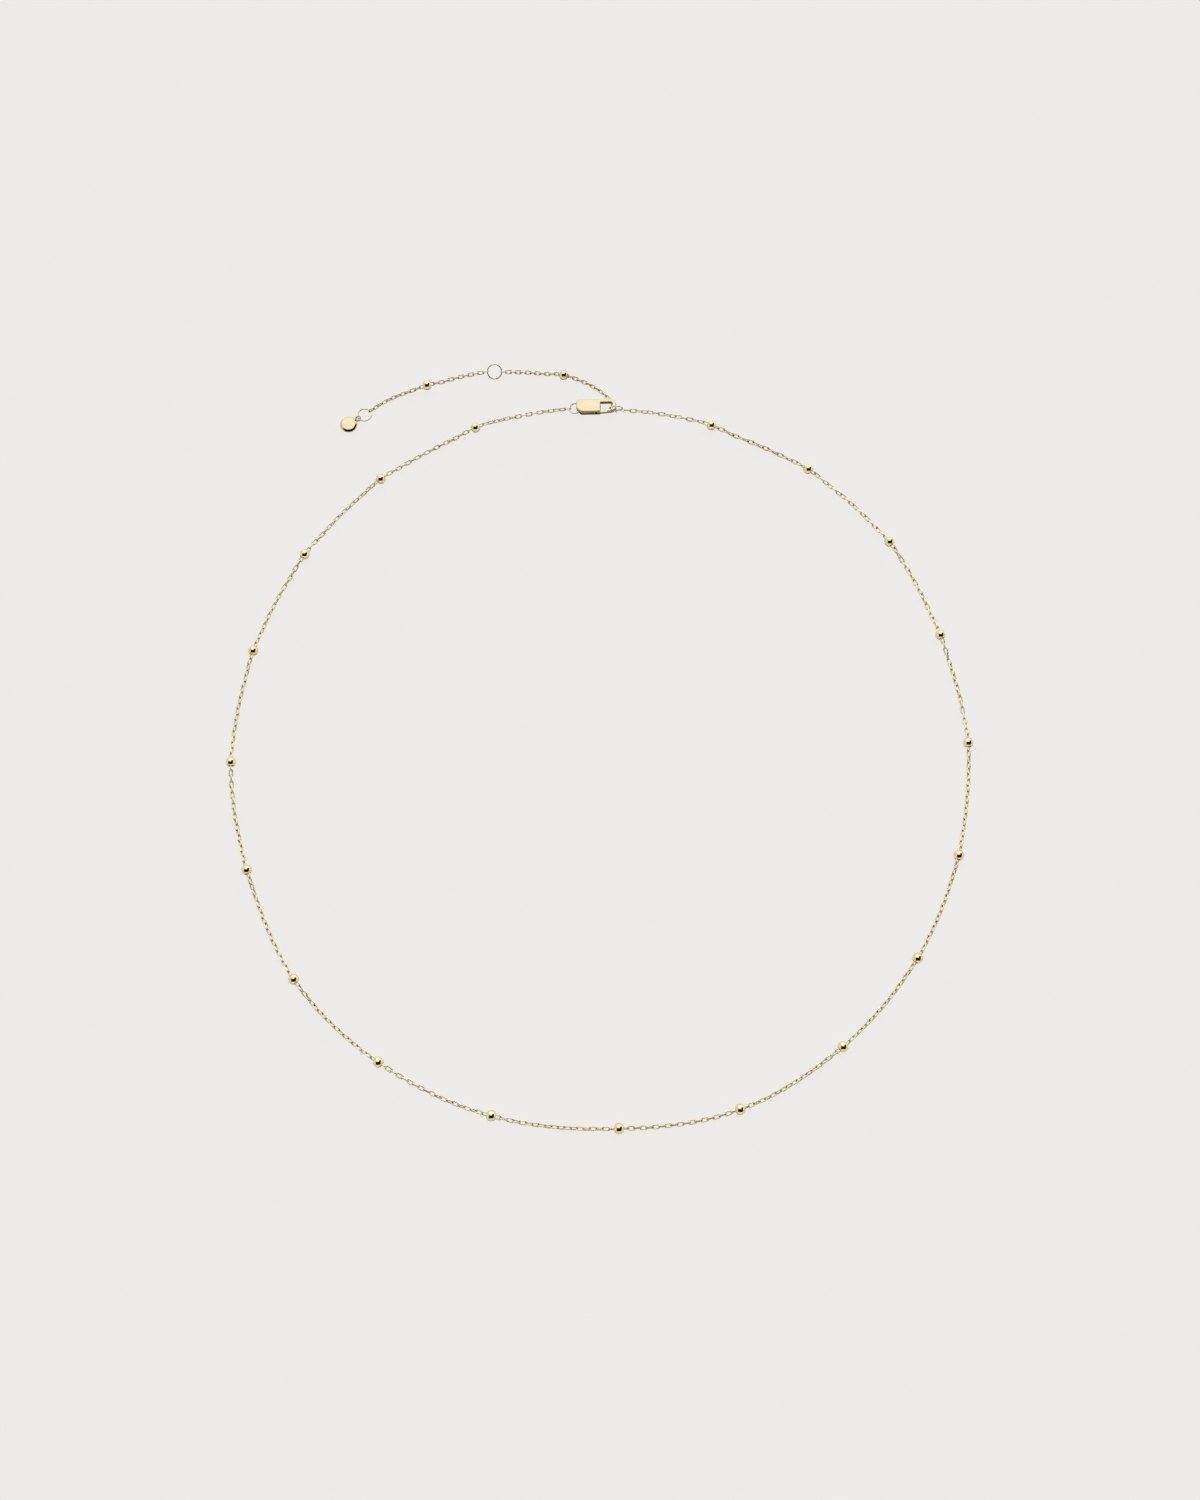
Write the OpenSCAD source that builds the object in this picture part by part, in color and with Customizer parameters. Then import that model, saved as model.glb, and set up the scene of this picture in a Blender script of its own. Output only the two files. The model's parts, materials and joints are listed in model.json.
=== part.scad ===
// Fine chain necklace with evenly spaced round beads, lying flat in an open loop.
// The loop closes with a small trigger clasp, and an extender chain with two more
// rings and a round end tag runs off from the ring in the clasp's hook.
// Millimetres. +Z is up, z = 0 is the surface that the necklace lies on, +Y points
// from the loop towards the clasp, and the origin is the middle of the whole lie.

/* [Beads] */
// Diameter of each bead
bead_d = 1.8; // [1.7:0.05:1.9]
// Diameter of the hole that the chain runs through
bead_hole_d = 0.92; // [0.9:0.01:0.96]

/* [Chain] */
// Outside length of one link
link_l = 1.42; // [1.41:0.01:1.44]
// Outside width of one link
link_w = 0.74; // [0.72:0.01:0.75]
// Diameter of a link's wire
link_wire_d = 0.15; // [0.14:0.005:0.16]
// Diameter of the plain strand that holds the main chain's place
strand_d = 0.66; // [0.56:0.02:0.66]

/* [Rings] */
// Outside diameter of the ring in the clasp's hook
hook_ring_d = 2.6; // [2.56:0.02:2.64]
// Outside diameter of the extender's middle ring and end ring
step_ring_d = 2.9; // [2.8:0.02:2.9]
// Outside diameter of the ring in the clasp's tail
tail_ring_d = 2.3; // [2.26:0.02:2.34]
// Diameter of the rings' wire
ring_wire_d = 0.26; // [0.24:0.01:0.27]

/* [Clasp] */
// Length of the clasp
clasp_l = 7.4; // [7.3:0.05:7.5]
// Width of the clasp
clasp_w = 2.6; // [2.5:0.05:2.7]
// Thickness of the clasp's body
clasp_h = 1.3; // [1.25:0.05:1.35]
// Width of the hook's arms
arm_w = 0.6; // [0.55:0.05:0.7]
// How far the clasp leans up towards its hook, in degrees
clasp_lean = 4.5; // [4.5:0.5:6]

/* [Tag] */
// Diameter of the round end tag
tag_d = 3.2; // [3.0:0.1:3.4]
// Thickness of the tag
tag_h = 0.8; // [0.7:0.05:0.9]

/* [Hidden] */
$fn = 32;

// The loop's middle lies this far below the middle of the whole necklace
loop_mid_y = -4.6;
// Height of the chain's middle where it lies, and where it runs through a bead
lie_z = 0.38;
bead_z = bead_d / 2;
gap = 0.1;

// Places of the loop's beads, clockwise from the hook: [x, y] from the loop's middle
loop_beads = [
    [20.5, 62], [38, 53], [52, 38.5], [60, 20.5], [63.5, 0.5],
    [60.5, -19.5], [52.5, -37], [39.5, -51.5], [22.5, -61.5], [3, -64.5],
    [-17.5, -62.5], [-36, -54], [-50.5, -40.5], [-59.5, -22], [-63.5, -3],
    [-61, 17.5], [-53, 36], [-40, 51], [-23, 61.5]
];
// The chain's way from the hook ring to the first bead, and from the last to the tail ring
hook_way = [[5, 65.4], [12, 64.5]];
tail_way = [[-13.5, 64.5], [-6.9, 65.6]];
loop_way = concat(hook_way, loop_beads, tail_way);

// The rings' middles and lean: [x, y, z] and [about x, about y] in degrees
hook_ring_at = [2.95, 65.18, 1.52];
hook_ring_lean = [102, 0];
middle_ring_at = [-19.7, 73.3, 0.76];
middle_ring_lean = [28, 0];
end_ring_at = [-43.6, 64.4, 0.46];
end_ring_lean = [-6, 0];
tail_ring_at = [-4.65, 65.7, 0.56];
tail_ring_lean = [0, -8];

// The main chain's end links, each through its ring: middle and direction
hook_link_at = [4.2, 65.29, 0.645];
hook_link_dir = [0.82, 0, -0.57];
tail_link_at = [-6.02, 65.7, 0.4];
tail_link_dir = [-1, 0, 0];

// The extender's way from the hook ring to the middle ring: [x, y, z]
extender_way_1 = [
    [2.8, 65.68, lie_z], [2.4, 66.6, lie_z], [1.85, 67.5, lie_z], [1.2, 68.3, lie_z],
    [0.4, 69.1, lie_z], [-0.6, 69.9, lie_z], [-2.5, 71.1, lie_z], [-4.1, 71.75, 0.5], [-5.6, 72.2, 0.85],
    [-6.8, 72.5, bead_z], [-8, 72.75, 0.85], [-9.6, 73, 0.5], [-11.5, 73.2, lie_z],
    [-14, 73.4, lie_z], [-16.4, 73.4, 0.5], [-18.03, 73.3, 0.72]
];
// The extender's way from the middle ring to the end ring
extender_way_2 = [
    [-21.37, 73.3, 0.72], [-23, 73.1, 0.5], [-25, 72.75, lie_z], [-27.6, 72, lie_z],
    [-29.5, 71.3, 0.5], [-31.1, 70.75, 0.85], [-32.2, 70.35, bead_z], [-33.3, 70, 0.85],
    [-34.9, 69.5, 0.5], [-36.6, 68.9, lie_z], [-38.5, 68.05, lie_z], [-40.2, 67.05, lie_z],
    [-41.4, 66.2, lie_z], [-42.36, 65.5, 0.38]
];
extender_bead_1_at = 9;
extender_bead_2_at = 6;
// How far the first and last link of each run is turned about the chain, to suit its ring
extender_turns_1 = [90, 62];
extender_turns_2 = [62, 94];
extender_links_1 = 27;
extender_links_2 = 25;

// The tag's middle, the flat edge left between its rims, and its soldered eye
tag_at = [-46.42, 62.38, 0];
tag_edge_h = 0.1;
eye_wire_d = 0.3;
eye_mid_d = 0.9;
eye_z = 0.55;
eye_lean = 60;
eye_sink = 0.11;

// Points and directions on a smooth curve through a list of points
function way_point(way, i) =
    i < 0 ? 2 * way[0] - way[1]
    : i >= len(way) ? 2 * way[len(way) - 1] - way[len(way) - 2]
    : way[i];
function on_way(way, i, t) =
    let (a = way_point(way, i - 1), b = way_point(way, i), c = way_point(way, i + 1), d = way_point(way, i + 2))
    b + 0.5 * t * (c - a + t * (2 * a - 5 * b + 4 * c - d + t * (3 * (b - c) + d - a)));
function way_dir(way, i) = way_point(way, i + 1) - way_point(way, i - 1);

// The curve as short steps, and a lookup of x, y and z by the length along it
function steps(way, n) = concat(
    [for (i = [0 : len(way) - 2], k = [0 : n - 1]) on_way(way, i, k / n)],
    [way[len(way) - 1]]
);
function lengths(pts) = [
    for (i = 0, s = 0; i < len(pts); s = s + (i + 1 < len(pts) ? norm(pts[i + 1] - pts[i]) : 0), i = i + 1) s
];
function ruler(pts) = let (s = lengths(pts)) [for (k = [0 : 2]) [for (i = [0 : len(pts) - 1]) [s[i], pts[i][k]]]];
function ruler_end(ruler) = ruler[0][len(ruler[0]) - 1][0];
function at_length(ruler, s) = [for (k = [0 : 2]) lookup(s, ruler[k])];

// Turns a child that lies along +X so that it points along a direction
module aim(dir, roll = 0) {
    rotate([0, -atan2(dir[2], norm([dir[0], dir[1]])), atan2(dir[1], dir[0])])
        rotate([roll, 0, 0])
            children();
}

// One chain link along +X, flat in the X-Y plane: straight sides and two round ends
module link() {
    end_r = (link_w - link_wire_d) / 2;
    side_l = link_l - link_w;
    for (side = [-1, 1]) {
        translate([side * side_l / 2, 0, 0])
            rotate([0, 0, -90 * side])
                rotate_extrude(angle = 180)
                    translate([end_r, 0])
                        circle(d = link_wire_d);
        translate([-side_l / 2, side * end_r, 0])
            rotate([0, 90, 0])
                cylinder(d = link_wire_d, h = side_l);
    }
}

// A run of interlocking links along a way, each turned about a quarter from the one before
module link_run(way, turns, count) {
    run = ruler(steps(way, 8));
    run_l = ruler_end(run);
    pitch = run_l / (count - 1);
    turn = 90 + (turns[1] - turns[0]) / (count - 1);
    reach = link_l / 2;
    for (i = [0 : count - 1]) {
        s = i * pitch;
        ahead = at_length(run, min(s + reach, run_l));
        behind = at_length(run, max(s - reach, 0));
        translate(at_length(run, s))
            aim(ahead - behind, turns[0] + turn * i)
                link();
    }
}

// A ring of round wire in the X-Y plane
module wire_ring(outer_d, wire_d) {
    rotate_extrude()
        translate([(outer_d - wire_d) / 2, 0])
            circle(d = wire_d);
}

module leaning_ring(at, lean, outer_d) {
    translate(at)
        rotate([lean[0], lean[1], 0])
            wire_ring(outer_d, ring_wire_d);
}

// A round bead at a place, drilled along the chain's direction
module bead(at, dir) {
    translate([at[0], at[1], bead_z])
        aim([dir[0], dir[1], 0])
            rotate([0, 90, 0])
                rotate_extrude()
                    intersection() {
                        circle(d = bead_d);
                        translate([bead_hole_d / 2, -bead_d])
                            square([bead_d, 2 * bead_d]);
                    }
}

// A strand with eight sides, swept through a list of points
module strand(pts) {
    n = len(pts);
    dirs = [for (i = [0 : n - 1]) pts[min(i + 1, n - 1)] - pts[max(i - 1, 0)]];
    corners = [
        for (i = [0 : n - 1])
            let (across = cross(dirs[i], [0, 0, 1]), side = across / norm(across))
            let (over = cross(side, dirs[i]), up = over / norm(over))
            for (k = [0 : 7]) pts[i] + strand_d / 2 * (cos(45 * k) * side + sin(45 * k) * up)
    ];
    walls = [
        for (i = [0 : n - 2], k = [0 : 7])
            let (next = (k + 1) % 8)
            [8 * i + k, 8 * i + next, 8 * i + 8 + next, 8 * i + 8 + k]
    ];
    ends = [[for (k = [7 : -1 : 0]) k], [for (k = [0 : 7]) 8 * (n - 1) + k]];
    polyhedron(corners, concat(walls, ends));
}

// The strand's points on one stretch of the loop: [place on the stretch, height]
function stretch(i, marks) = [
    for (m = marks) let (p = on_way(loop_way, i, m[0])) [p[0], p[1], m[1]]
];
between_beads = [[0.05, bead_z], [0.3, lie_z], [0.7, lie_z], [0.95, bead_z]];
first_bead_way = 2;
last_bead_way = len(loop_way) - 3;
middle_bead_way = 11;

module chain_right() {
    color("goldenrod")
        strand(concat(
            stretch(0, [[0, lie_z], [0.5, lie_z]]),
            stretch(1, [[0, lie_z], [0.4, lie_z], [0.88, bead_z]]),
            [for (i = [first_bead_way : middle_bead_way - 1]) each stretch(i, between_beads)],
            [concat(loop_way[middle_bead_way] + [gap / 2, 0], bead_z)]
        ));
}

module chain_left() {
    color("goldenrod")
        strand(concat(
            [concat(loop_way[middle_bead_way] - [gap / 2, 0], bead_z)],
            [for (i = [middle_bead_way : last_bead_way - 1]) each stretch(i, between_beads)],
            stretch(last_bead_way, [[0.12, bead_z], [0.6, lie_z], [1, lie_z]]),
            stretch(last_bead_way + 1, [[0.5, lie_z], [1, lie_z]])
        ));
}

// The loop's bead with this number, clockwise from the hook
module loop_bead(n) {
    color("gold")
        bead(loop_beads[n - 1], way_dir(loop_way, n - 1 + first_bead_way));
}

module hook_link() {
    color("goldenrod")
        translate(hook_link_at)
            aim(hook_link_dir)
                link();
}

module tail_link() {
    color("goldenrod")
        translate(tail_link_at)
            aim(tail_link_dir, 90)
                link();
}

module extender_chain_1() {
    color("goldenrod")
        link_run(extender_way_1, extender_turns_1, extender_links_1);
}

module extender_chain_2() {
    color("goldenrod")
        link_run(extender_way_2, extender_turns_2, extender_links_2);
}

module extender_bead_1() {
    color("gold")
        bead(extender_way_1[extender_bead_1_at], way_dir(extender_way_1, extender_bead_1_at));
}

module extender_bead_2() {
    color("gold")
        bead(extender_way_2[extender_bead_2_at], way_dir(extender_way_2, extender_bead_2_at));
}

module hook_ring() {
    color("gold")
        leaning_ring(hook_ring_at, hook_ring_lean, hook_ring_d);
}

module middle_ring() {
    color("gold")
        leaning_ring(middle_ring_at, middle_ring_lean, step_ring_d);
}

module end_ring() {
    color("gold")
        leaning_ring(end_ring_at, end_ring_lean, step_ring_d);
}

module tail_ring() {
    color("gold")
        leaning_ring(tail_ring_at, tail_ring_lean, tail_ring_d);
}

// The clasp lies along +X from its tail, with its mouth on the -Y side
clasp_tail = [-4.35, 65.85, 0];
clasp_turn = -1.2;
half_w = clasp_w / 2;
hook_corner_r = 1;
tail_corner_r = 0.5;
tail_cut = 0.9;
window_from = 4.45;
window_to = clasp_l - arm_w;
window_corner_r = 0.45;
hook_rise = 0.45;
// The lever's pin, and the pocket and slot in the body's thickness
pivot = [4, 0.35 - half_w];
pin_d = 0.3;
pin_sink = 0.1;
lever_hole_d = 0.36;
lever_root_d = 0.64;
lever_w = 0.4;
lever_h = 0.55;
lever_mid_z = 0.62;
pocket_h = lever_h + 0.1;
pocket_back = 0.45;
pocket_deep = 0.62;
lever_end = 5.96;
lever_step = 0.05;
mouth_slant = 0.25;
mouth_gap = 0.07;
tail_slot_h = 0.46;
tail_slot_l = 1.05;
tail_pin = [0.36, 0];

// The lever's inner side, the hook tip's inner side, and the slanted end of the mouth
lever_in_y = lever_w + lever_step - half_w;
tip_y = lever_in_y + lever_step;
function mouth_x(y) = lever_end + mouth_gap + mouth_slant * (y - lever_in_y) / lever_w;

module place_clasp() {
    translate(clasp_tail)
        rotate([0, -clasp_lean, clasp_turn])
            children();
}

// The clasp's outline from above, with round corners and one cut corner at the tail
module clasp_outline() {
    hook_x = clasp_l - hook_corner_r;
    hook_y = half_w - hook_corner_r;
    polygon([
        [0, tail_cut - half_w], [tail_cut, -half_w], [hook_x, -half_w], [clasp_l, -hook_y],
        [clasp_l, hook_y], [hook_x, half_w], [tail_corner_r, half_w], [0, half_w - tail_corner_r]
    ]);
    for (y = [-hook_y, hook_y])
        translate([hook_x, y])
            circle(r = hook_corner_r);
    translate([tail_corner_r, half_w - tail_corner_r])
        circle(r = tail_corner_r);
}

// The opening inside the hook, with the slanted mouth that the lever's end closes
module clasp_window() {
    top_y = half_w - arm_w;
    polygon([
        [window_from, -clasp_w], [mouth_x(-clasp_w), -clasp_w], [mouth_x(tip_y), tip_y], [window_to, tip_y],
        [window_to, top_y - window_corner_r], [window_to - window_corner_r, top_y], [window_from, top_y]
    ]);
    translate([window_to - window_corner_r, top_y - window_corner_r])
        circle(r = window_corner_r);
}

module clasp_body() {
    color("gold")
        place_clasp() {
            difference() {
                linear_extrude(clasp_h)
                    clasp_outline();
                translate([0, 0, -1])
                    linear_extrude(clasp_h + 2)
                        clasp_window();
                translate([window_from, -clasp_w, -1])
                    cube([clasp_l, 2 * clasp_w, 1 + hook_rise]);
                translate([pivot[0] - pocket_back, -clasp_w, lever_mid_z - pocket_h / 2])
                    cube([window_from - pivot[0] + 1, clasp_w + pivot[1] + pocket_deep, pocket_h]);
                translate([-1, -clasp_w, (clasp_h - tail_slot_h) / 2])
                    cube([1 + tail_slot_l, 2 * clasp_w, tail_slot_h]);
            }
            for (pin = [pivot, tail_pin])
                translate([pin[0], pin[1], pin_sink])
                    cylinder(d = pin_d, h = clasp_h - 2 * pin_sink);
        }
}

module clasp_lever() {
    color("gold")
        place_clasp()
            translate([0, 0, lever_mid_z - lever_h / 2])
                difference() {
                    union() {
                        translate([pivot[0], pivot[1], 0])
                            cylinder(d = lever_root_d, h = lever_h);
                        linear_extrude(lever_h)
                            polygon([
                                [pivot[0], lever_in_y - lever_w], [lever_end - mouth_slant, lever_in_y - lever_w],
                                [lever_end, lever_in_y], [pivot[0], lever_in_y]
                            ]);
                    }
                    translate([pivot[0], pivot[1], -1])
                        cylinder(d = lever_hole_d, h = lever_h + 2);
                }
}

// A round tag with a rolled rim, lying flat, and the small eye soldered to its edge
module tag() {
    rim_r = (tag_h - tag_edge_h) / 2;
    to_ring = end_ring_at - tag_at;
    eye_out = (tag_d + eye_mid_d + eye_wire_d) / 2 - eye_sink;
    color("gold")
        translate(tag_at) {
            rotate_extrude() {
                square([tag_d / 2 - rim_r, tag_h]);
                translate([0, rim_r])
                    square([tag_d / 2, tag_h - 2 * rim_r]);
                for (z = [rim_r, tag_h - rim_r])
                    intersection() {
                        translate([tag_d / 2 - rim_r, z])
                            circle(r = rim_r);
                        square([tag_d, tag_h]);
                    }
            }
            rotate([0, 0, atan2(to_ring[1], to_ring[0])])
                translate([eye_out, 0, eye_z])
                    rotate([eye_lean, 0, 0])
                        wire_ring(eye_mid_d + eye_wire_d, eye_wire_d);
        }
}

translate([0, loop_mid_y, 0]) {
    chain_right();
    chain_left();
    hook_link();
    tail_link();
    loop_bead(1);  // bead_01
    loop_bead(2);  // bead_02
    loop_bead(3);  // bead_03
    loop_bead(4);  // bead_04
    loop_bead(5);  // bead_05
    loop_bead(6);  // bead_06
    loop_bead(7);  // bead_07
    loop_bead(8);  // bead_08
    loop_bead(9);  // bead_09
    loop_bead(10);  // bead_10
    loop_bead(11);  // bead_11
    loop_bead(12);  // bead_12
    loop_bead(13);  // bead_13
    loop_bead(14);  // bead_14
    loop_bead(15);  // bead_15
    loop_bead(16);  // bead_16
    loop_bead(17);  // bead_17
    loop_bead(18);  // bead_18
    loop_bead(19);  // bead_19
    extender_chain_1();
    extender_chain_2();
    extender_bead_1();
    extender_bead_2();
    hook_ring();
    middle_ring();
    end_ring();
    tail_ring();
    clasp_body();
    clasp_lever();
    tag();
}
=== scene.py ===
"""A fine gold chain necklace with round beads, lying in an open loop on a pale surface.

Sizes are named in millimetres, and the meshes are in metres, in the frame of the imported
model: +Z is up and the surface is z = 0. Beads, rings, the clasp and the tag stand where the
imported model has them, and the main chain runs on a curve through its beads.
"""

import json

import bmesh
import bpy
import numpy as np
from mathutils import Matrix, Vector

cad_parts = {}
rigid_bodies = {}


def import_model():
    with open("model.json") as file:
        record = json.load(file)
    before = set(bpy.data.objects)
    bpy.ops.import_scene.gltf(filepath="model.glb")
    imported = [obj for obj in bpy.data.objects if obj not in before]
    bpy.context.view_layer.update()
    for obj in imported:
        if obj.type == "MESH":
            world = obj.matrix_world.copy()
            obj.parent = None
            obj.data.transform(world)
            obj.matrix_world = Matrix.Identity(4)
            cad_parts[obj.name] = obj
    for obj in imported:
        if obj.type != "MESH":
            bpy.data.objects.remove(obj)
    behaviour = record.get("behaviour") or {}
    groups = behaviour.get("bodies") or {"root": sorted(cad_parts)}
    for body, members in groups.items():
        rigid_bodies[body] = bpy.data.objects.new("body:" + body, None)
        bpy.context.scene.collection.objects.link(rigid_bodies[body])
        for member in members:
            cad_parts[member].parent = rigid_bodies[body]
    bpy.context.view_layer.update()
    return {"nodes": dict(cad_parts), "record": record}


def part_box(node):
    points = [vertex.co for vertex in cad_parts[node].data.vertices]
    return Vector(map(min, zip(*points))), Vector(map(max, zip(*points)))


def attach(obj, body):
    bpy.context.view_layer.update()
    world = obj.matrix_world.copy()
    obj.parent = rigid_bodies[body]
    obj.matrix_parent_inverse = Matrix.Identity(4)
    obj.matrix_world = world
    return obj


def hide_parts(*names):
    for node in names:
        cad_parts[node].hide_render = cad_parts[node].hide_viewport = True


MM = 0.001

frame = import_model()

# The photograph's camera: it leans from above towards the loop's front
CAMERA_AT = Vector((-0.03, -89.86, 264.30)) * MM
CAMERA_AIM = Vector((-0.03, -5.155, 0)) * MM
CAMERA_LENS = 38.52
CAMERA_SENSOR = 36

# The links: their outside size, their wire, and how many points draw each round end and each
# turn of the wire. The wire's corners stand out a little, so that it is as thick as round wire
LINK_L = 1.5
LINK_W = 0.84
LINK_WIRE_D = 0.24
LINK_END_POINTS = 6
LINK_WIRE_SIDES = 6
LINK_CORNERS_OUT = 1.05

# How much painted shade the outside of a link's end gets, where 1 is its inside, and where it changes
# round the wire, from -1 at its outside to 1 at its inside. The shade is painted where the links cross and
# shade each other
LINK_OUTSIDE_SHADE = 0.1
LINK_SHADE_FADE = (-0.6, 0.8)

# The beads
BEAD_D = 1.8
BEAD_Z = BEAD_D / 2
BEAD_HOLE_D = 0.92
BEAD_HOLE_RIM_R = 0.05
BEAD_ARC_POINTS = 25
BEAD_RIM_POINTS = 5
BEAD_SIDES = 40

# The main chain's way: its beads are counted clockwise from the hook, and between them and the
# two end links it passes these points, seen from above
BEAD_COUNT = 19
MIDDLE_BEAD = 10
HOOK_WAY = [(5, 60.8), (12, 59.9)]
TAIL_WAY = [(-13.5, 59.9), (-6.9, 61)]
CURVE_STEPS = 60

# How the links of each stretch are turned about the chain, in degrees:
# the number of links, the turn of the first one, and the turn from one link to the next
STRETCHES = [
    (16, 0, 108), (20, -30, 120), (20, 120, 120), (20, 120, 108), (20, 102, 96),
    (20, 56, 90), (20, 51, 90), (20, 46, 90), (20, 66, 87.7), (20, 12, 90),
    (20, 12, 93), (20, 42, 87.6), (20, 44, 91), (20, 50, 90), (20, 57, 87.6),
    (20, 60, 90), (20, 65, 92), (20, 107, 87.7), (20, 12, 90), (17, -34, 97),
]

# How loosely the main chain lies: each link's own extra turn in degrees and its shift sideways
TURN_SPREAD = 4
SIDE_SPREAD = 0.012

# Heights of the main chain: it comes down from a bead over this length and then lies on the
# surface, evened out over this many links, with the first loose link higher
BEAD_SLOPE_L = 5
SURFACE_GAP = 0.005
EVEN_OVER = 5
FIRST_LINK_Z = 0.4

# The extender: the links in each of its two runs, and which way each run passes its bead
EXTENDER_LINKS = {1: 27, 2: 25}
EXTENDER_BEAD_WAYS = {1: (-2.4, 0.55, 0), 2: (-2.2, -0.75, 0)}

# The clasp: its thickness, how far its hook's underside rises, and the radii of its edges
CLASP_H = 1.3
HOOK_RISE = 0.45
LEVER_H = 0.55
CLASP_EDGE_R = 0.22
HOOK_EDGE_R = 0.06
LEVER_EDGE_R = 0.07
LEVER_SHORTEST_EDGE = 0.3
EDGE_STEPS = 5

# Edges of the clasp that turn outwards by more than the first are rounded, and those that are
# left and turn by more than the second look sharp
EDGE_TURN = np.radians(40)
SHARP_TURN = np.radians(32)

# A face of the clasp whose normal rises less than this is a wall
WALL_RISE = 0.5

# In the clasp's solids, vertices this close are one, edges this close to a height are at it,
# and faces that turn by less than this are one
MERGE_WITHIN = 0.002
LEVEL_WITHIN = 0.01
NEARLY_FLAT = np.radians(1)

# How much painted shade darkens the clasp's outer walls and underside, where 1 is its walls inside the
# hook
OUTER_WALL_SHADE = 0.55

# The tag and its soldered eye, which leans by this many degrees
TAG_R = 1.6
TAG_H = 0.8
TAG_WIDEST_Z = 0.5
TAG_RIM_OUT = 0.48
TAG_RIM_POWER = 1.43
TAG_PROFILE_POINTS = 25
TAG_SIDES = 96
EYE_MID_R = 0.45
EYE_WIRE_R = 0.15
EYE_Z = 0.55
EYE_SINK = 0.11
EYE_LEAN = 60
EYE_POINTS = 40
EYE_WIRE_SIDES = 12


# Places, angles and curves

UPWARDS = np.array([0, 0, 1])


def middle_of(node_name):
    """The middle of a node's box, in millimetres."""
    low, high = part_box(node_name)
    return (np.array(low) + np.array(high)) / (2 * MM)


def rows_of(items, key):
    """Three numbers of each vertex or face of a mesh, as rows."""
    rows = np.empty(3 * len(items), np.float32)
    items.foreach_get(key, rows)
    return rows.reshape(-1, 3)


def bead_nodes():
    """The main chain's beads, clockwise from the hook."""
    return [f"bead_{number:02d}" for number in range(1, BEAD_COUNT + 1)]


def smooth_step(x, start, end):
    """0 before start, 1 after end, and 3t^2 - 2t^3 between them."""
    t = np.clip((x - start) / (end - start), 0, 1)
    return t * t * (3 - 2 * t)


def even_angles(count):
    """Angles at even steps round a circle, from 0."""
    return 2 * np.pi * np.arange(count) / count


def curve_through(points, steps):
    """A smooth curve through the points: cubic between each two, with each tangent half the way
    from the point before to the point after. Rows are points, with steps rows a stretch."""
    p = np.vstack([2 * points[0] - points[1], points, 2 * points[-1] - points[-2]])
    a, b, c, d = (p[k:len(p) - 3 + k, None, :] for k in range(4))
    t = (np.arange(steps) / steps)[None, :, None]
    rows = b + 0.5 * t * (c - a + t * (2 * a - 5 * b + 4 * c - d + t * (3 * (b - c) + d - a)))
    return np.vstack([rows.reshape(-1, points.shape[1]), points[-1:]])


def lengths_along(rows):
    """The length along a curve at each of its rows."""
    return np.concatenate([[0], np.cumsum(np.linalg.norm(np.diff(rows, axis=0), axis=1))])


# Meshes

def quads(rows, columns, first=0, close_columns=True):
    """Faces of a grid of vertices, each a square between neighbours. Its last row meets its
    first, and so does its last column unless it is left open."""
    r = np.arange(rows)[:, None]
    c = np.arange(columns if close_columns else columns - 1)[None, :]
    r2, c2 = (r + 1) % rows, (c + 1) % columns
    corners = [(r, c), (r2, c), (r2, c2), (r, c2)]
    return np.stack([first + (i * columns + j) for i, j in corners], axis=-1).reshape(-1, 4)


def set_smooth(mesh):
    """Shades a mesh as one smooth surface."""
    mesh.polygons.foreach_set("use_smooth", np.full(len(mesh.polygons), True))


def new_mesh(name, vertices, faces):
    """A mesh from vertices in millimetres and faces of any size."""
    mesh = bpy.data.meshes.new(name)
    mesh.from_pydata((np.asarray(vertices, float).reshape(-1, 3) * MM).tolist(), [], faces)
    set_smooth(mesh)
    mesh.update()
    return mesh


def set_painted_shade(mesh, values, domain):
    """How much painted shade darkens the metal at each point or face, from 0 to 1."""
    painted_shade = mesh.attributes.new("painted_shade", "FLOAT", domain)
    painted_shade.data.foreach_set("value", values.astype(np.float32))


def new_object(name, data):
    """An object at the origin, in the scene."""
    thing = bpy.data.objects.new(name, data)
    bpy.context.scene.collection.objects.link(thing)
    return thing


def piece(name, mesh, slot, body, nodes):
    """A finished piece of the necklace, which stands for these nodes."""
    thing = new_object(name, mesh)
    mesh.materials.append(GOLDS[slot])
    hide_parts(*nodes)
    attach(thing, body)
    return thing


def rings_of(grids):
    """Vertices and faces of a stack of grids, each closed both ways: [ring, row, column, xyz]."""
    count, rows, columns, _ = grids.shape
    one = quads(rows, columns)
    faces = (one[None] + (np.arange(count) * rows * columns)[:, None, None]).reshape(-1, 4)
    return grids.reshape(-1, 3), faces.tolist()


def wire_along(line, out, axis, wire_r, sides):
    """A wire along a flat closed line, as a grid: round each point of the line, a circle that
    starts outwards and turns towards the line's axis."""
    turn = even_angles(sides)[None, :, None]
    return line[:, None] + wire_r * (np.cos(turn) * out[:, None] + np.sin(turn) * axis)


def frames_along(directions, rolls):
    """Three axes for each direction: along it, sideways and level, and upwards, then turned
    by a roll about the first."""
    along = directions / np.linalg.norm(directions, axis=-1, keepdims=True)
    side = np.cross(UPWARDS, along)
    side /= np.linalg.norm(side, axis=-1, keepdims=True)
    up = np.cross(along, side)
    c, s = np.cos(rolls)[..., None], np.sin(rolls)[..., None]
    return np.stack([along, c * side + s * up, c * up - s * side], axis=-2)


def set_out(shape, places, axes):
    """A grid of points carried to each place and turned to its axes."""
    return np.einsum("rck,nkj->nrcj", shape, axes) + places[:, None, None, :]


# The chain

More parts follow.
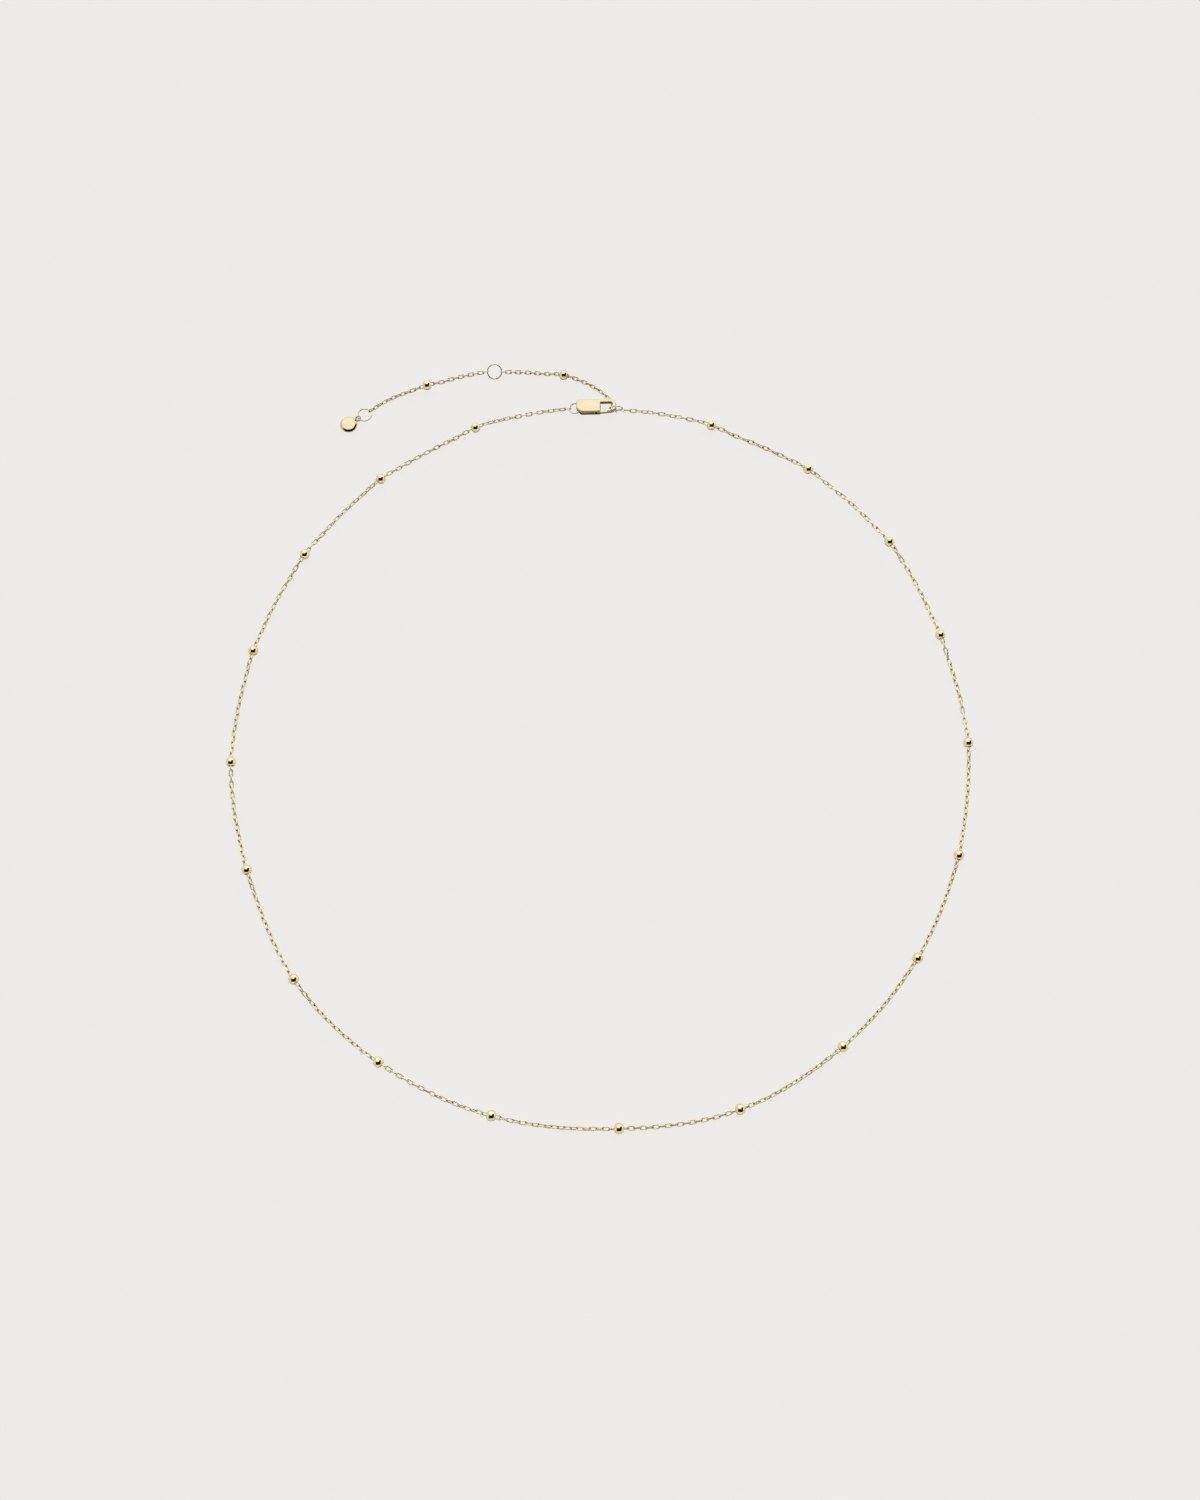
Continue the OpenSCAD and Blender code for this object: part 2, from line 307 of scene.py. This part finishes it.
def link_shape():
    """A link along X: the middle line is two half circles joined by straight sides, and the
    wire round it is a circle across that line. With it comes the painted shade at each of its
    points: shade is painted inside the ends, where the links cross and shade each other, and
    fades out along the sides."""
    end_r = (LINK_W - LINK_WIRE_D) / 2
    half_side = (LINK_L - LINK_W) / 2
    turn = np.radians(np.linspace(-90, 90, LINK_END_POINTS))
    turn = np.concatenate([turn, turn + np.pi])
    out = np.stack([np.cos(turn), np.sin(turn), 0 * turn], axis=-1)
    middle = end_r * out
    middle[:, 0] += np.repeat([half_side, -half_side], LINK_END_POINTS)
    wire_r = LINK_WIRE_D / 2 * LINK_CORNERS_OUT
    near_end = smooth_step(np.abs(middle[:, :1]), 0.5 * half_side, half_side + end_r)
    inside = smooth_step(-np.cos(even_angles(LINK_WIRE_SIDES))[None], *LINK_SHADE_FADE)
    painted_shade = near_end * (LINK_OUTSIDE_SHADE + (1 - LINK_OUTSIDE_SHADE) * inside)
    return wire_along(middle, out, UPWARDS, wire_r, LINK_WIRE_SIDES), painted_shade


def chain_heights(s, bead_s, rolls):
    """The height of each link's middle: that of the beads within them, and past their slopes as
    low as the turned link and its neighbours can lie, which is the wire's radius plus the
    sine of the turn times the rest of the link's half width, evened out by a moving mean."""
    half_width = (LINK_W - LINK_WIRE_D) / 2
    need = LINK_WIRE_D / 2 + half_width * np.abs(np.sin(rolls))
    need = np.maximum(need, np.maximum(np.roll(need, 1), np.roll(need, -1)))
    mean = np.ones(EVEN_OVER) / EVEN_OVER
    need = np.convolve(np.pad(need, EVEN_OVER // 2, "edge"), mean, "valid") + SURFACE_GAP
    from_bead = np.min(np.abs(s[:, None] - bead_s[None]), axis=1)
    return BEAD_Z + (need - BEAD_Z) * smooth_step(from_bead, BEAD_D / 2, BEAD_SLOPE_L)


def chain_links():
    """Place, direction and roll of every loose link of the main chain, and whether it is in the
    right half, up to the middle bead. The links stand at even steps from bead to bead."""
    hook, tail = middle_of("hook_link"), middle_of("tail_link")
    beads_at = np.array([middle_of(name)[:2] for name in bead_nodes()])
    before_beads = 1 + len(HOOK_WAY)
    rows = curve_through(np.vstack([hook[:2], HOOK_WAY, beads_at, TAIL_WAY, tail[:2]]), CURVE_STEPS)
    lengths = lengths_along(rows)
    bead_s = lengths[(np.arange(BEAD_COUNT) + before_beads) * CURVE_STEPS]
    marks = np.concatenate([[0], bead_s, [lengths[-1]]])

    counts, firsts, turns = (np.array(column) for column in zip(*STRETCHES))
    starts = np.concatenate([[0], np.cumsum(counts)])
    number = np.arange(starts[-1] + 1)
    stretch = np.clip(np.searchsorted(starts, number, side="right") - 1, 0, len(counts) - 1)
    rolls = np.radians(firsts[stretch] + turns[stretch] * (number - starts[stretch]))
    rng = np.random.default_rng(7)
    rolls += np.radians(rng.normal(0, TURN_SPREAD, len(number)))

    s = np.interp(number, starts, marks)
    height = chain_heights(s, bead_s, rolls)
    height[:2] = hook[2], FIRST_LINK_Z
    height[-2:] = tail[2]
    way = np.stack([np.interp(s, lengths, rows[:, 0]), np.interp(s, lengths, rows[:, 1]), height], axis=-1)
    way[2:-2, :2] += rng.normal(0, SIDE_SPREAD, (len(way) - 4, 2))
    direction = way[2:] - way[:-2]
    loose = slice(1, -1)
    return way[loose], direction, rolls[loose], number[loose] <= starts[MIDDLE_BEAD]


def links(name, grids, painted_shade, node_name):
    """A chain of links, with the painted shade at each link's points. A link that would go below
    the surface is lifted onto it."""
    grids[..., 2] -= np.minimum(grids[..., 2].min(axis=(1, 2)), 0)[:, None, None]
    vertices, faces = rings_of(grids)
    mesh = new_mesh(name, vertices, faces)
    set_painted_shade(mesh, np.tile(painted_shade.ravel(), len(grids)), "POINT")
    piece(name, mesh, "chain_gold", "necklace", [node_name])


def main_chain():
    """The links of each half of the main chain."""
    places, directions, rolls, in_right = chain_links()
    shape, painted_shade = link_shape()
    axes = frames_along(directions, rolls)
    for side, half in (("right", in_right), ("left", ~in_right)):
        links(f"links_{side}", set_out(shape, places[half], axes[half]), painted_shade, f"chain_{side}")


def extender_links():
    """The extender's links, each at the place and turn of its own solid. A link is longest along
    itself and thinnest across its flat side, which gives its three axes."""
    shape, painted_shade = link_shape()
    for run, count in EXTENDER_LINKS.items():
        node_name = f"extender_chain_{run}"
        vertices = rows_of(frame["nodes"][node_name].data.vertices, "co") / MM
        solids = vertices.reshape(count, -1, 3)
        places = solids.mean(axis=1)
        axes = np.linalg.svd(solids - places[:, None], full_matrices=False)[2]
        axes[:, 2] = np.cross(axes[:, 0], axes[:, 1])
        links(f"extender_links_{run}", set_out(shape, places, axes), painted_shade, node_name)


# The clasp

CLASP_UP = Vector(frame["record"]["behaviour"]["joints"][0]["axis"])
HOOK_MIDDLE = Vector(frame["record"]["mounts"][0]["pos_m"])


def merged_form(node_name):
    """A clasp part's solid with its doubled vertices merged and its flat faces made whole."""
    form = bmesh.new()
    form.from_mesh(frame["nodes"][node_name].data)
    bmesh.ops.remove_doubles(form, verts=form.verts, dist=MERGE_WITHIN * MM)
    bmesh.ops.dissolve_limit(form, angle_limit=NEARLY_FLAT, verts=form.verts, edges=form.edges)
    return form


def at_height(edge, height):
    """Whether an edge lies at a height along the clasp's own upward axis."""
    return all(abs(height - vertex.co.dot(CLASP_UP)) < LEVEL_WITHIN * MM for vertex in edge.verts)


def on_hook_wall(edge):
    """Whether an edge is on a wall that faces the middle of the hook's opening."""
    to_middle = HOOK_MIDDLE - edge.verts[0].co
    return any(
        abs(face.normal.dot(CLASP_UP)) < WALL_RISE and face.normal.dot(to_middle) > 0
        for face in edge.link_faces
    )


def round_edges(form, heights, shortest, inner, edge_r):
    """Rounds the edges at these heights where the form turns outwards, on the hook's inner walls
    or on all others. Those under the shortest length stay sharp."""
    chosen = [
        edge for edge in form.edges
        if any(at_height(edge, height) for height in heights)
        and len(edge.link_faces) == 2 and edge.calc_face_angle_signed() > EDGE_TURN
        and edge.calc_length() > shortest * MM and on_hook_wall(edge) == inner
    ]
    bmesh.ops.bevel(
        form, geom=chosen, offset=edge_r * MM, offset_type="OFFSET", segments=EDGE_STEPS,
        profile=0.5, affect="EDGES", clamp_overlap=False,
    )


def clasp_painted_shade(mesh):
    """How much painted shade darkens each face of a clasp part: 1 on the walls inside the hook,
    where shade falls in the recess, less on its outer walls and its underside, and 0 on its top."""
    normals, centres = rows_of(mesh.polygons, "normal"), rows_of(mesh.polygons, "center")
    rise = normals @ np.array(CLASP_UP)
    inward = ((np.array(HOOK_MIDDLE) - centres) * normals).sum(axis=1) > 0
    below_top = np.where(inward & (rise > -WALL_RISE), 1, OUTER_WALL_SHADE)
    return np.where(rise > WALL_RISE, 0, below_top)


def rounded_copy(name, node_name, depths, body, outer_r, inner_r, shortest=0.0):
    """A copy of a clasp part with its long edges rounded, at the given depths below its top.
    Edges on the hook's inner walls get the inner radius, and the others the outer one."""
    form = merged_form(node_name)
    top = max(vertex.co.dot(CLASP_UP) for vertex in form.verts)
    heights = [top - depth * MM for depth in depths]
    round_edges(form, heights, shortest, False, outer_r)
    round_edges(form, heights, shortest, True, inner_r)
    mesh = bpy.data.meshes.new(name)
    form.to_mesh(mesh)
    form.free()
    set_smooth(mesh)
    mesh.set_sharp_from_angle(angle=SHARP_TURN)
    # Painted shade on the clasp's faces: darkest on the walls inside the hook, less on its outer walls and
    # underside
    set_painted_shade(mesh, clasp_painted_shade(mesh), "FACE")
    thing = piece(name, mesh, "clasp_gold", body, [node_name])
    even = thing.modifiers.new("even faces", "WEIGHTED_NORMAL")
    even.keep_sharp = True


def clasp():
    """The clasp's body and its lever. The body is thinner at its hook than at its block."""
    depths = [0, CLASP_H - HOOK_RISE, CLASP_H]
    rounded_copy("clasp_case", "clasp_body", depths, "necklace", CLASP_EDGE_R, HOOK_EDGE_R)
    rounded_copy(
        "clasp_trigger", "clasp_lever", [0, LEVER_H], "lever", LEVER_EDGE_R, LEVER_EDGE_R,
        LEVER_SHORTEST_EDGE,
    )


# The tag

def tag_disc(middle):
    """The tag's disc, a profile turned about its middle: a flat face, then a slope down to the
    rim, and the same below. The slope is a quarter of an ellipse whose sine and cosine are
    raised to a power, which flattens it to nearly a cone."""
    t = np.radians(np.linspace(0, 180, TAG_PROFILE_POINTS))
    across = TAG_R - TAG_RIM_OUT + TAG_RIM_OUT * np.abs(np.sin(t)) ** TAG_RIM_POWER
    from_widest = np.sign(np.cos(t)) * np.abs(np.cos(t)) ** TAG_RIM_POWER
    height = TAG_WIDEST_Z + np.where(t < np.pi / 2, TAG_H - TAG_WIDEST_Z, TAG_WIDEST_Z) * from_widest
    turn = even_angles(TAG_SIDES)[:, None]
    disc = np.stack([across * np.cos(turn), across * np.sin(turn), height + 0 * turn], axis=-1) + middle
    poles = middle + [[0, 0, TAG_H], [0, 0, 0]]

    count, pole = TAG_PROFILE_POINTS, TAG_SIDES * TAG_PROFILE_POINTS
    faces = quads(TAG_SIDES, count, close_columns=False)[:, ::-1].tolist()
    this = np.arange(TAG_SIDES) * count
    following = np.roll(this, -1)
    poles_at = np.full_like(this, pole)
    faces += np.stack([this, following, poles_at], axis=-1).tolist()
    faces += np.stack([following + count - 1, this + count - 1, poles_at + 1], axis=-1).tolist()
    return np.vstack([disc.reshape(-1, 3), poles]), faces


def tag_eye(middle):
    """The tag's eye: a circle of round wire beside its rim, which leans towards the ring in it."""
    to_ring = (middle_of("end_ring") - middle) * [1, 1, 0]
    outward = to_ring / np.linalg.norm(to_ring)
    lean = np.radians(EYE_LEAN)
    beside = np.cos(lean) * np.cross(UPWARDS, outward) + np.sin(lean) * UPWARDS
    out_to_eye = TAG_R + EYE_MID_R + EYE_WIRE_R - EYE_SINK
    eye_middle = middle + out_to_eye * outward + [0, 0, EYE_Z]
    turn = even_angles(EYE_POINTS)[:, None]
    out = np.cos(turn) * outward + np.sin(turn) * beside
    line = eye_middle + EYE_MID_R * out
    return wire_along(line, out, np.cross(outward, beside), EYE_WIRE_R, EYE_WIRE_SIDES).reshape(-1, 3)


def tag():
    """The round tag and the eye soldered to its edge."""
    low = np.array(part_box("tag")[0]) / MM
    middle = np.array([low[0] + TAG_R, low[1] + TAG_R, 0])
    vertices, faces = tag_disc(middle)
    faces += quads(EYE_POINTS, EYE_WIRE_SIDES, first=len(vertices)).tolist()
    mesh = new_mesh("round_tag", np.vstack([vertices, tag_eye(middle)]), faces)
    piece("round_tag", mesh, "tag_gold", "necklace", ["tag"])


# The beads

def bead_shape():
    """A drilled bead along X: a closed profile, turned about X. It is the ball's arc from hole
    to hole, a small round rim, and the straight bore."""
    ball_r, hole_r, rim_r = BEAD_D / 2, BEAD_HOLE_D / 2, BEAD_HOLE_RIM_R
    rim_at = np.arcsin((hole_r + rim_r) / (ball_r - rim_r))
    rim_x, rim_y = (ball_r - rim_r) * np.cos(rim_at), hole_r + rim_r
    arc = np.linspace(rim_at, np.pi - rim_at, BEAD_ARC_POINTS)
    outer = np.stack([ball_r * np.cos(arc), ball_r * np.sin(arc)], axis=-1)
    bend = np.linspace(np.pi - rim_at, 3 * np.pi / 2, BEAD_RIM_POINTS)[1:]
    rim = np.stack([-rim_x + rim_r * np.cos(bend), rim_y + rim_r * np.sin(bend)], axis=-1)
    profile = np.vstack([outer, rim, rim[::-1] * [-1, 1]])
    turn = even_angles(BEAD_SIDES)
    x = np.broadcast_to(profile[:, :1], (len(profile), BEAD_SIDES))
    return np.stack([x, profile[:, 1:] * np.cos(turn), profile[:, 1:] * np.sin(turn)], axis=-1)


def bead(name, node_name, direction):
    """A bead at its node's place, with its hole along a direction."""
    axes = frames_along(direction[None], np.zeros(1))
    vertices, faces = rings_of(set_out(bead_shape(), middle_of(node_name)[None], axes))
    piece(name, new_mesh(name, vertices, faces), "bead_gold", "necklace", [node_name])


def beads():
    """Each bead, in line with the chain through it."""
    places = [middle_of(name) for name in bead_nodes()]
    line = np.array([(*HOOK_WAY[-1], BEAD_Z), *places, (*TAIL_WAY[0], BEAD_Z)])
    for node_name, direction in zip(bead_nodes(), line[2:] - line[:-2]):
        bead(node_name.replace("bead", "bead_ball"), node_name, direction)
    for run, direction in EXTENDER_BEAD_WAYS.items():
        bead(f"extender_ball_{run}", f"extender_bead_{run}", np.array(direction))


# Shader sums

class Socket:
    """One output of a node, with sums that add Math nodes."""

    def __init__(self, tree, socket):
        self.tree, self.socket = tree, socket

    def sum(self, operation, a, b):
        return node(self.tree, "ShaderNodeMath", {"operation": operation}, {0: a, 1: b})

    def __add__(self, other):
        return self.sum("ADD", self, other)

    def __sub__(self, other):
        return self.sum("SUBTRACT", self, other)

    def __rsub__(self, other):
        return self.sum("SUBTRACT", other, self)

    def __mul__(self, other):
        return self.sum("MULTIPLY", self, other)

    def __pow__(self, other):
        return self.sum("POWER", self, other)

    __radd__ = __add__
    __rmul__ = __mul__

    def most(self, other):
        """The greater of two values."""
        return self.sum("MAXIMUM", self, other)

    def step(self, start, end, low=0.0, high=1.0):
        """low before start, high after end, and a smooth change between them."""
        ends = {"Value": self, "From Min": start, "From Max": end, "To Min": low, "To Max": high}
        return node(self.tree, "ShaderNodeMapRange", {"interpolation_type": "SMOOTHSTEP"}, ends)


def node(tree, kind, settings=None, inputs=None, output=0):
    """Adds a node of this kind, sets its settings, then its inputs, and gives one output."""
    made = tree.nodes.new(kind)
    for key, value in (settings or {}).items():
        setattr(made, key, value)
    for key, value in (inputs or {}).items():
        if isinstance(value, Socket):
            tree.links.new(value.socket, made.inputs[key])
        else:
            made.inputs[key].default_value = value
    return Socket(tree, made.outputs[output]) if len(made.outputs) else None


def empty_tree(owner):
    """The nodes of a material or of the room, with none in it yet."""
    owner.use_nodes = True
    owner.node_tree.nodes.clear()
    return owner.node_tree


def rgba(colour, share=1):
    """A colour as a socket takes it, with only a share of its light."""
    return (*(c * share for c in colour), 1)


def blend(tree, mask, first, second):
    """The first colour where the mask is 0 and the second where it is 1. Either may be a socket.
    A Mix node has its colours at inputs 6 and 7 and at output 2."""
    first, second = (c if isinstance(c, Socket) else rgba(c) for c in (first, second))
    return node(tree, "ShaderNodeMix", {"data_type": "RGBA"}, {0: mask, 6: first, 7: second}, 2)


def noise(tree, where, scale, detail=2):
    """Soft grain about 1 / scale metres across, from 0 to 1."""
    return node(tree, "ShaderNodeTexNoise", None, {"Vector": where, "Scale": scale, "Detail": detail})


# The golds

# The colour of painted shade on the gold, a dark brown
SHADE_GOLD = (0.35, 0.225, 0.015)

# How fine the tone's drift is, between which values of their noise the drift and the handling
# marks come up, and how deep the marks are and how coarse beside those in the roughness
DRIFT_SCALE = 320
DRIFT_FADE = (0.35, 0.65)
MARKS_FADE = (0.4, 0.75)
BUMP_DEPTH = 0.02 * MM
BUMP_TO_MARKS = 0.6


def gold(name, light, deep, roughness, wear, grain_scale, grain):
    """Polished yellow gold. Its colour drifts between a light and a deep tone over a few
    millimetres, and painted shade darkens it where the piece's shade attribute says so. Small
    handling marks change its roughness and, very slightly, its surface."""
    material = bpy.data.materials.new(name)
    tree = empty_tree(material)
    where = node(tree, "ShaderNodeTexCoord", output="Object")
    drift = noise(tree, where, DRIFT_SCALE).step(*DRIFT_FADE)
    marks = noise(tree, where, grain_scale, detail=4).step(*MARKS_FADE)
    bumps = noise(tree, where, grain_scale * BUMP_TO_MARKS, detail=3)
    bump = node(tree, "ShaderNodeBump", None, {"Strength": grain, "Distance": BUMP_DEPTH, "Height": bumps})
    # Painted shade: this attribute darkens the base colour towards a dark brown
    painted_shade = node(tree, "ShaderNodeAttribute", {"attribute_name": "painted_shade"}, output="Fac")
    skin = node(tree, "ShaderNodeBsdfPrincipled", None, {
        "Base Color": blend(tree, painted_shade, blend(tree, drift, light, deep), SHADE_GOLD),
        "Metallic": 1.0,
        "Roughness": marks * wear + roughness,
        "Normal": bump,
    })
    node(tree, "ShaderNodeOutputMaterial", None, {"Surface": skin})
    return material


# The surface, the light and the camera

PALE = (0.847, 0.838, 0.823)

# The surface's half width, the share of its brightness that is its own to the camera, and the
# share of its colour that polished metal sees
FLOOR_HALF_W = 4000
FLOOR_OWN = 0.96
FLOOR_IN_METAL = 0.96

# Where each thing shows in a polished ball as it is seen from the photograph's side: across and
# up are from -1 to 1 over the ball, and each pair is where it starts and ends. The panel is
# round, so it has a middle, and radii between which it fades. The flag leans as it rises.
PANEL_MIDDLE = (0.28, 0.76)
PANEL_FADE = (0.58, 0.84)
FRONT_ACROSS = (-0.40, 0.40)
FRONT_UP = (-0.43, 0.15)
FLAG_ACROSS = (0.14, 0.52)
FLAG_UP = (-0.31, 0.40)
FLAG_LEAN = 0.15
LOW_LIGHT_FADE = (-0.47, -0.33)
EDGE_FADE = 0.05

# How bright the wall is, what the panel and the low light add, and what the dark parts take
WALL_LEVEL = 0.83
PANEL_LEVEL = 0.46
LOW_LIGHT_LEVEL = 0.22
DARK_SHARE = 0.985
WALL_TINT = (1, 0.985, 0.95)
PANEL_TINT = (1, 1.05, 1.14)
DARK_TINT = (1, 0.76, 0.5)

# The light on the surface comes from behind the loop: it grows between these two directions,
# from forwards to backwards, and between these two strengths
LAMP_WAYS = (-0.1, 0.55)
LAMP_LEVELS = (0.02, 2.75)


def floor():
    """The plain pale surface. To the camera most of its brightness is its own, so shadows stay
    faint. In polished metal it is seen as the light leaves it, with the shadows at each piece."""
    half = FLOOR_HALF_W
    corners = [(-half, -half, 0), (half, -half, 0), (half, half, 0), (-half, half, 0)]
    ground = new_object("floor", new_mesh("floor", corners, [(0, 1, 2, 3)]))
    material = bpy.data.materials.new("pale_surface")
    tree = empty_tree(material)
    glow = node(tree, "ShaderNodeEmission", None, {"Color": rgba(PALE), "Strength": FLOOR_OWN})
    rest = node(tree, "ShaderNodeBsdfDiffuse", None, {"Color": rgba(PALE, 1 - FLOOR_OWN)})
    seen = node(tree, "ShaderNodeAddShader", None, {0: glow, 1: rest})
    in_metal = node(tree, "ShaderNodeBsdfDiffuse", None, {"Color": rgba(PALE, FLOOR_IN_METAL)})
    glossy = node(tree, "ShaderNodeLightPath", output="Is Glossy Ray")
    both = node(tree, "ShaderNodeMixShader", None, {0: glossy, 1: seen, 2: in_metal})
    node(tree, "ShaderNodeOutputMaterial", None, {"Surface": both})
    ground.data.materials.append(material)


def between(x, low, high):
    """1 between low and high, 0 outside them, and soft at both."""
    return x.step(low - EDGE_FADE, low + EDGE_FADE) * (1 - x.step(high - EDGE_FADE, high + EDGE_FADE))


def studio():
    """An even pale room. Polished metal sees more of it: a large bright panel overhead and
    behind, a dimmer wall all round, and the dark open front with an upright flag at its right."""
    world = bpy.data.worlds.new("studio")
    bpy.context.scene.world = world
    tree = empty_tree(world)
    dot = {"operation": "DOT_PRODUCT"}
    to_viewer = (CAMERA_AT - CAMERA_AIM).normalized()
    upward = to_viewer.cross(Vector((1, 0, 0))).normalized()
    way = node(tree, "ShaderNodeTexCoord", output="Generated")

    # Where the ball shows this direction, its surface faces half way between it and the viewer
    half_way = node(tree, "ShaderNodeVectorMath", {"operation": "ADD"}, {0: way, 1: to_viewer})
    facing = node(tree, "ShaderNodeVectorMath", {"operation": "NORMALIZE"}, {0: half_way})
    across = node(tree, "ShaderNodeVectorMath", dot, {0: facing, 1: (1, 0, 0)}, "Value")
    up = node(tree, "ShaderNodeVectorMath", dot, {0: facing, 1: upward}, "Value")

    off_across, off_up = across - PANEL_MIDDLE[0], up - PANEL_MIDDLE[1]
    panel = 1 - ((off_across * off_across + off_up * off_up) ** 0.5).step(*PANEL_FADE)
    front = between(across, *FRONT_ACROSS) * between(up, *FRONT_UP)
    flag = between(across - up * FLAG_LEAN, *FLAG_ACROSS) * between(up, *FLAG_UP)
    low_light = 1 - up.step(*LOW_LIGHT_FADE)
    dark = front.most(flag)
    level = WALL_LEVEL + panel * PANEL_LEVEL + low_light * LOW_LIGHT_LEVEL
    level = level * (1 - dark * DARK_SHARE)
    tint = blend(tree, dark, blend(tree, panel, WALL_TINT, PANEL_TINT), DARK_TINT)
    seen = node(tree, "ShaderNodeBackground", None, {"Color": tint, "Strength": level})

    plain = node(tree, "ShaderNodeBackground", None, {"Color": rgba(PALE), "Strength": 1.0})
    backward = node(tree, "ShaderNodeVectorMath", dot, {0: way, 1: (0, 1, 0)}, "Value")
    from_behind = backward.step(*LAMP_WAYS, *LAMP_LEVELS)
    lamp = node(tree, "ShaderNodeBackground", None, {"Color": rgba((1, 1, 1)), "Strength": from_behind})
    to_eye = node(tree, "ShaderNodeLightPath", output="Is Camera Ray")
    glossy = node(tree, "ShaderNodeLightPath", output="Is Glossy Ray")
    room = node(tree, "ShaderNodeMixShader", None, {0: glossy, 1: lamp, 2: seen})
    view = node(tree, "ShaderNodeMixShader", None, {0: to_eye, 1: room, 2: plain})
    node(tree, "ShaderNodeOutputWorld", None, {"Surface": view})


def camera():
    """The photograph's camera, upright, with everything sharp."""
    data = bpy.data.cameras.new("camera")
    data.lens = CAMERA_LENS
    data.sensor_width = CAMERA_SENSOR
    data.sensor_fit = "AUTO"
    data.clip_start = 0.01
    data.clip_end = 20
    eye = new_object("camera", data)
    eye.location = CAMERA_AT
    eye.rotation_mode = "QUATERNION"
    eye.rotation_quaternion = (CAMERA_AIM - CAMERA_AT).to_track_quat("-Z", "Y")
    bpy.context.scene.camera = eye


# The scene, cleared of what a new file holds

for spare in [thing for thing in bpy.data.objects if thing.name in ("Cube", "Light", "Camera")]:
    bpy.data.objects.remove(spare)
bpy.context.scene.view_settings.view_transform = "Standard"
camera()
studio()
floor()

# All of these are one yellow gold. Their base colours differ by part as painted light and shade, for how
# the light falls on each: the chain's and the beads' are lighter, the clasp's and the tag's darker, and
# the rings' paler
GOLDS = {
    "chain_gold": gold(
        "chain gold", light=(1.0, 0.90, 0.58), deep=(0.97, 0.86, 0.53),
        roughness=0.18, wear=0.10, grain_scale=3000, grain=0.15,
    ),
    "bead_gold": gold(
        "bead gold", light=(0.90, 0.765, 0.445), deep=(0.87, 0.725, 0.405),
        roughness=0.03, wear=0.03, grain_scale=1500, grain=0.03,
    ),
    "ring_gold": gold(
        "ring gold", light=(0.80, 0.74, 0.52), deep=(0.74, 0.68, 0.46),
        roughness=0.20, wear=0.10, grain_scale=2500, grain=0.12,
    ),
    "clasp_gold": gold(
        "clasp gold", light=(0.72, 0.61, 0.37), deep=(0.68, 0.57, 0.33),
        roughness=0.14, wear=0.10, grain_scale=2000, grain=0.10,
    ),
    "tag_gold": gold(
        "tag gold", light=(0.74, 0.63, 0.38), deep=(0.70, 0.59, 0.34),
        roughness=0.12, wear=0.10, grain_scale=2000, grain=0.10,
    ),
}
for part in frame["record"]["subparts"]:
    frame["nodes"][part["node"]].material_slots[0].material = GOLDS[part["material_slot"]]

main_chain()
extender_links()
beads()
clasp()
tag()
